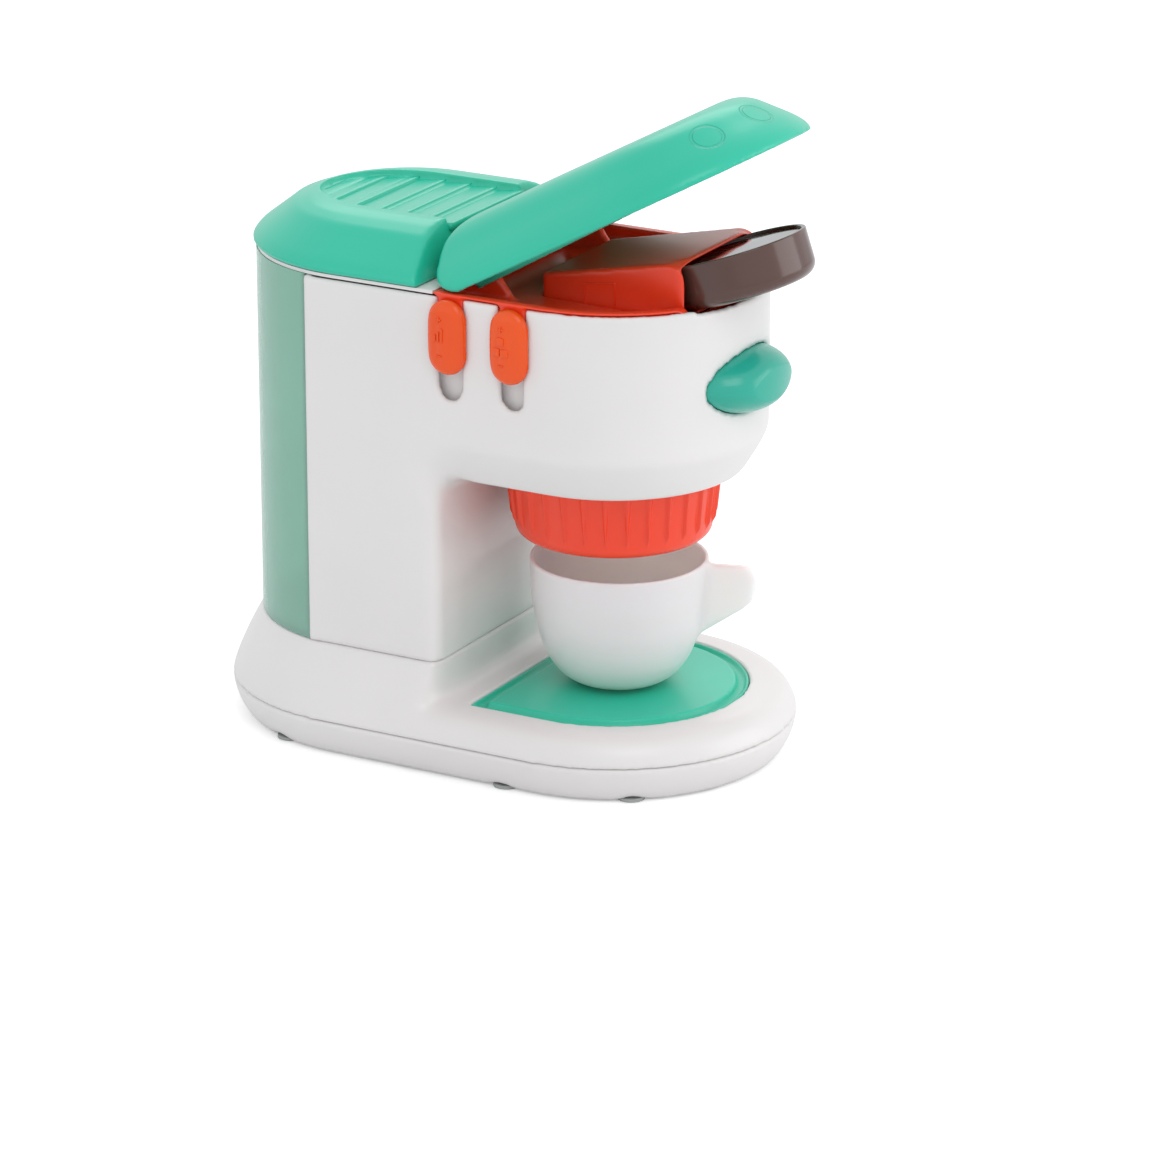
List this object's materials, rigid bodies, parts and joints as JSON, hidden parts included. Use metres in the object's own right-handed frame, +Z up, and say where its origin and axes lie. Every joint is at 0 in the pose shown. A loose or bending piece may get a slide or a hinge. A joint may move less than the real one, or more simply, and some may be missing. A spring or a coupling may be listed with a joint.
{
  "type": "toy coffee maker",
  "caption": "Toy coffee maker with a tilting lever, a pod slot and pod, side sliders, a push button, a ribbed outlet collar, a tank and a cup on a drip tray",
  "frame": {"origin": "centre of the base's flat underside, on the surface it stands on", "axes": "+Z up; -Y is the front, where the cup and button are; +X is the object's left-hand side as seen from behind, so the sliders are on the -X side"},
  "size_m": [0.1324, 0.2259, 0.243],
  "materials": {
    "white_abs": "satin",
    "teal_abs": "gloss",
    "orange_abs": "gloss",
    "orange_knob_abs": "gloss",
    "brown_abs": "gloss",
    "tank_polystyrene": "gloss",
    "grey_rubber": "matt",
    "zinc_steel": "satin",
    "spring_steel": "satin"
  },
  "bodies": {
    "machine": {"base_lower": "white_abs", "base_upper": "white_abs", "foot_pads": "grey_rubber", "base_screws": "zinc_steel", "drip_tray": "teal_abs", "body_shell": "white_abs", "body_screws": "zinc_steel", "water_tank": "tank_polystyrene", "rear_cover": "teal_abs", "cover_screws": "zinc_steel", "top_plate": "white_abs", "top_deck": "orange_abs", "deck_screws": "zinc_steel", "pod_slot": "orange_abs", "lever_pin": "zinc_steel", "pin_clips": "zinc_steel", "slider_guide": "white_abs", "button_guide": "white_abs", "outlet_nozzle": "orange_abs", "nozzle_screws": "zinc_steel"},
    "lever": {"lever": "teal_abs"},
    "pusher": {"pod_pusher": "orange_abs"},
    "pod": {"pod": "brown_abs", "pod_lid": "brown_abs"},
    "strength_knob": {"strength_slider": "orange_knob_abs"},
    "sugar_knob": {"sugar_slider": "orange_knob_abs"},
    "button": {"front_button": "teal_abs", "button_plunger": "white_abs", "button_clip": "zinc_steel", "button_spring": "spring_steel"},
    "collar": {"brew_collar": "orange_abs"},
    "cup": {"cup": "white_abs"}
  },
  "joints": [
    {"name": "lever_hinge", "type": "hinge", "parent": "machine", "child": "lever", "pos_m": [0, -0.0068, 0.18675], "axis": [-1, 0, 0], "range_deg": [-28.5, 0]},
    {"name": "pusher_slide", "type": "slide", "parent": "machine", "child": "pusher", "axis": [0, -0.9455, 0.3256], "range_m": [-0.021, 0]},
    {"name": "pod_slide", "type": "slide", "parent": "pusher", "child": "pod", "axis": [0, -0.9455, 0.3256], "range_m": [0, 0.06]},
    {"name": "strength_slide", "type": "slide", "parent": "machine", "child": "strength_knob", "axis": [0, 0, -1], "range_m": [0, 0.01]},
    {"name": "sugar_slide", "type": "slide", "parent": "machine", "child": "sugar_knob", "axis": [0, 0, -1], "range_m": [0, 0.01]},
    {"name": "button_press", "type": "slide", "parent": "machine", "child": "button", "axis": [0, 1, 0], "range_m": [0, 0.003], "stiffness_N_per_m": 300, "springref_m": -0.004, "deforming": ["button_spring"]},
    {"name": "collar_turn", "type": "hinge", "parent": "machine", "child": "collar", "pos_m": [0, -0.042, 0.095], "axis": [0, 0, 1], "range_deg": [-60, 60]},
    {"name": "cup_slide", "type": "slide", "parent": "machine", "child": "cup", "axis": [0, -1, 0], "range_m": [0, 0.12]}
  ],
  "couplings": [
    {"joint": "pusher_slide", "follows": "lever_hinge", "m_per_rad": 0.0422}
  ]
}
